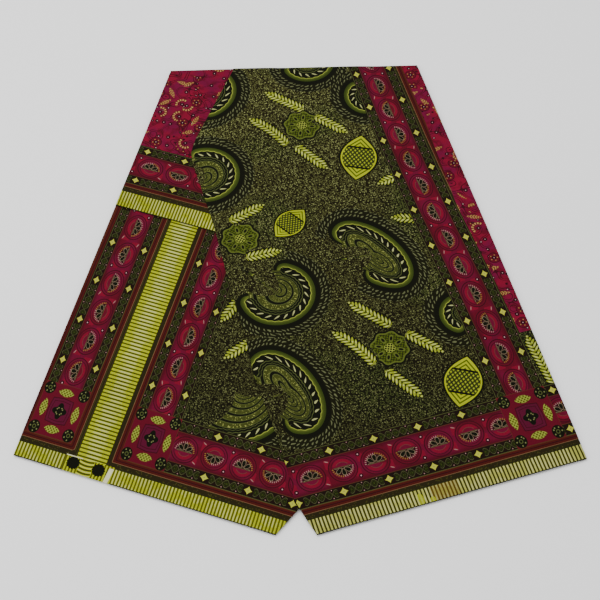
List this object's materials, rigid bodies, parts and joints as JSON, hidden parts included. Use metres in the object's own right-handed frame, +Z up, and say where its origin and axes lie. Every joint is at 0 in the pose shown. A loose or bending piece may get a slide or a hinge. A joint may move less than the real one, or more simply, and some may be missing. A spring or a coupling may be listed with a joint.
{
  "type": "kanga wrap cloth",
  "caption": "Printed cotton wrap cloth folded into two legs that fan out in an A shape, laid flat with its selvedge hems towards the viewer.",
  "frame": {"origin": "centre of the box on the plan, at the flat underside", "axes": "+Z up out of the surface it lies on, -Y towards the two selvedge hems, +X to the viewer's right"},
  "size_m": [0.834, 0.876, 0.0099],
  "materials": {
    "hidden_layers": "folded edges of printed cotton, matt",
    "left_leg": "printed cotton in crimson, olive and lime, plain weave, low sheen",
    "turned_end": "printed cotton in crimson with small motifs, plain weave, low sheen",
    "main_panel": "printed cotton in dark olive and lime with a crimson border, plain weave, low sheen"
  },
  "bodies": {
    "root": {"hidden_layers": "hidden_layers", "left_leg": "left_leg", "turned_end": "turned_end", "main_panel": "main_panel"}
  },
  "joints": []
}
